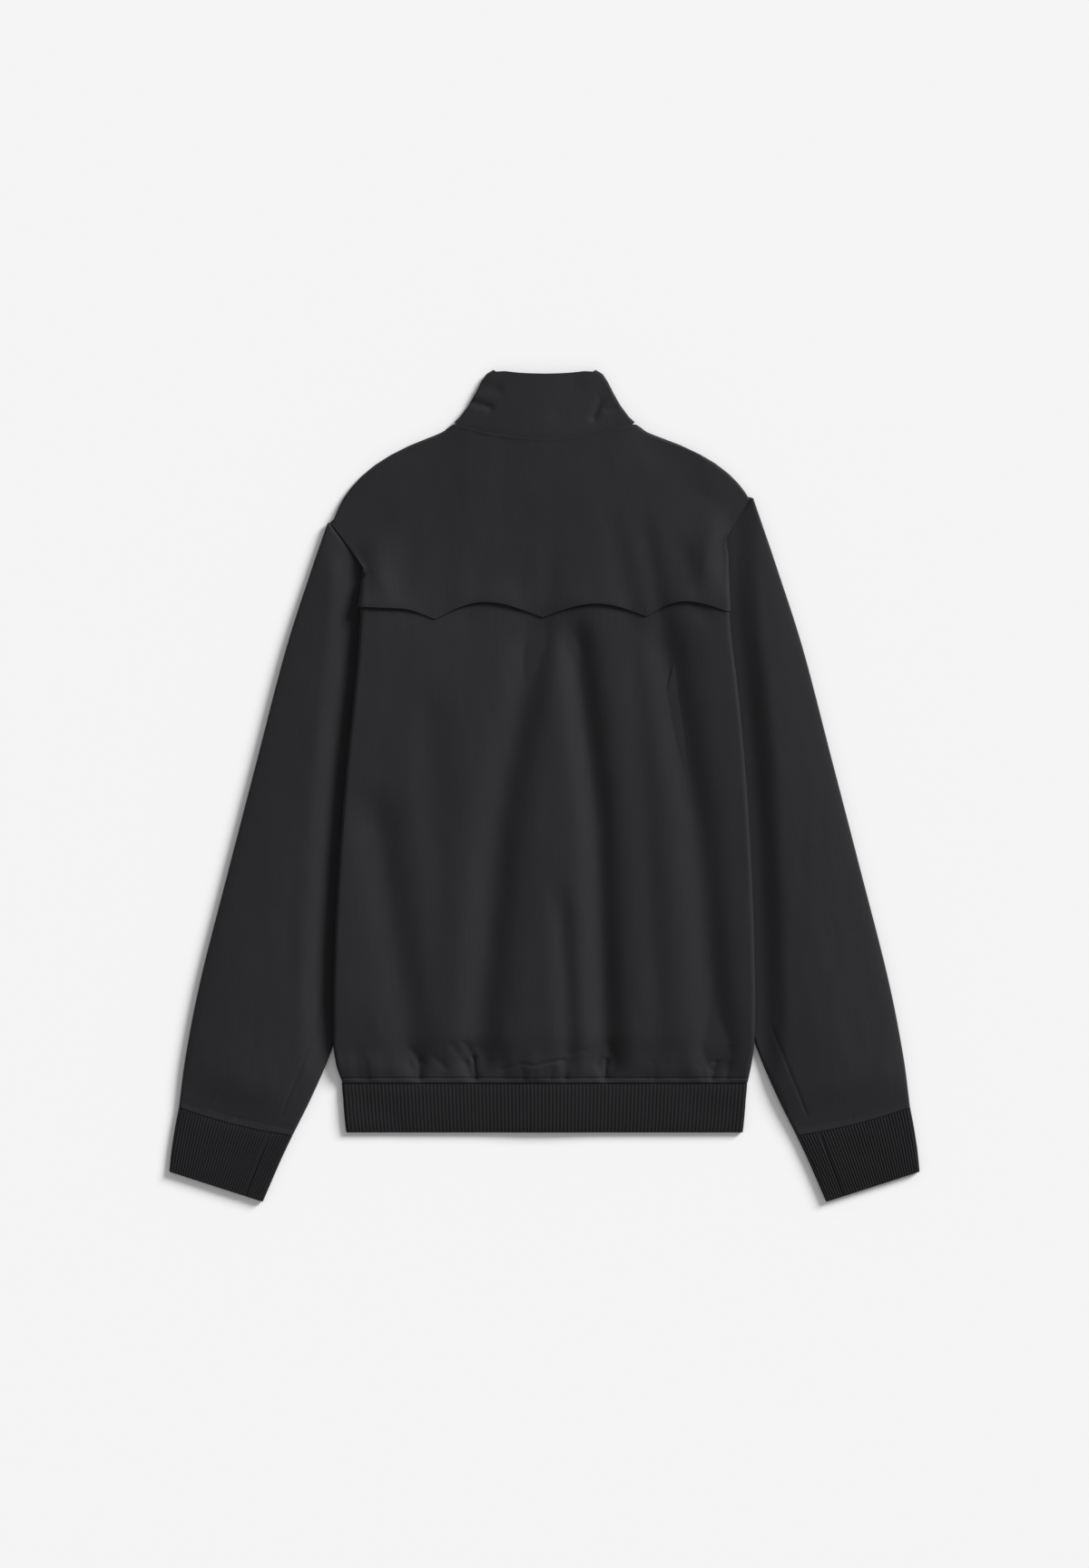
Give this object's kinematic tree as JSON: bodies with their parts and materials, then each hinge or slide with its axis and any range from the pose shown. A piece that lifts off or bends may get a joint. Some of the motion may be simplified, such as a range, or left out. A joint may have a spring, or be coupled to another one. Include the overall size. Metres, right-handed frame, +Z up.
{
  "type": "harrington jacket",
  "caption": "Black cotton zip jacket laid flat on its front, with a stand collar, a loose scalloped back yoke, long sleeves and knitted rib cuffs and hem.",
  "frame": {"origin": "middle of the jacket's outline, on the surface that it lies on", "axes": "+X to the right as seen from above, +Y from the hem to the collar, +Z up through the jacket's thickness; the back faces up"},
  "size_m": [0.719, 0.7965, 0.0141],
  "materials": {
    "shell_cloth": "black fine plain-weave cotton with a slight sheen",
    "rib_knit": "black rib knit, matt",
    "zip_tape": "black woven zip tape and coil",
    "zip_metal": "black enamelled zinc"
  },
  "bodies": {
    "jacket": {"back": "shell_cloth", "yoke": "shell_cloth", "front_left": "shell_cloth", "front_right": "shell_cloth", "sleeve_left": "shell_cloth", "sleeve_right": "shell_cloth", "collar": "shell_cloth", "cuff_left": "rib_knit", "cuff_right": "rib_knit", "hem_rib": "rib_knit", "zip_chain": "zip_tape", "zip_slider": "zip_metal"},
    "pull_tab": {"zip_pull_tab": "zip_metal"}
  },
  "joints": [
    {"name": "pull_tab_hinge", "type": "hinge", "parent": "jacket", "child": "pull_tab", "pos_m": [0, 0.311, 0.0021], "axis": [1, 0, 0], "range_deg": [0, 165]}
  ]
}
